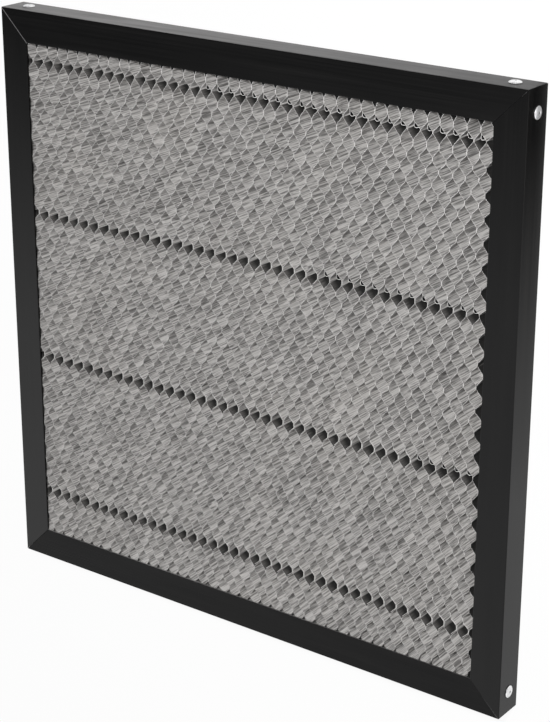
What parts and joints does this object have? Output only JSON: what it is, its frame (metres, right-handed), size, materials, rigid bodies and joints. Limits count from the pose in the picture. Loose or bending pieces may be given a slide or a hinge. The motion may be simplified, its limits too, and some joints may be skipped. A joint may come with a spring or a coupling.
{
  "type": "aluminium honeycomb panel",
  "caption": "Flat square panel: a mitred black channel frame, riveted at its corners, holds a core of open aluminium foil cells.",
  "frame": {"origin": "centre of the back face, which is the face that the panel lies on", "axes": "+Z out of the front face; X and Y along the sides, +Y to the side that is uppermost in the picture"},
  "size_m": [0.403, 0.403, 0.022],
  "materials": {
    "black_anodised_channel": "extruded aluminium, black anodised, satin with fine lines along its length",
    "aluminium_foil": "bare light grey foil, softly rippled through its depth, with darker glue in four rows",
    "plain_aluminium_bracket": "bare mill finish",
    "rivet_aluminium": "bright smooth dome",
    "mandrel_steel": "dull steel with a snapped end"
  },
  "bodies": {
    "root": {"frame_bottom": "black_anodised_channel", "frame_right": "black_anodised_channel", "frame_top": "black_anodised_channel", "frame_left": "black_anodised_channel", "honeycomb_core": "aluminium_foil", "bracket_bottom_left": "plain_aluminium_bracket", "bracket_bottom_right": "plain_aluminium_bracket", "bracket_top_right": "plain_aluminium_bracket", "bracket_top_left": "plain_aluminium_bracket", "rivet_bottom_left": "rivet_aluminium", "rivet_bottom_right": "rivet_aluminium", "rivet_right_bottom": "rivet_aluminium", "rivet_right_top": "rivet_aluminium", "rivet_top_right": "rivet_aluminium", "rivet_top_left": "rivet_aluminium", "rivet_left_top": "rivet_aluminium", "rivet_left_bottom": "rivet_aluminium", "mandrel_bottom_left": "mandrel_steel", "mandrel_bottom_right": "mandrel_steel", "mandrel_right_bottom": "mandrel_steel", "mandrel_right_top": "mandrel_steel", "mandrel_top_right": "mandrel_steel", "mandrel_top_left": "mandrel_steel", "mandrel_left_top": "mandrel_steel", "mandrel_left_bottom": "mandrel_steel"}
  },
  "joints": []
}
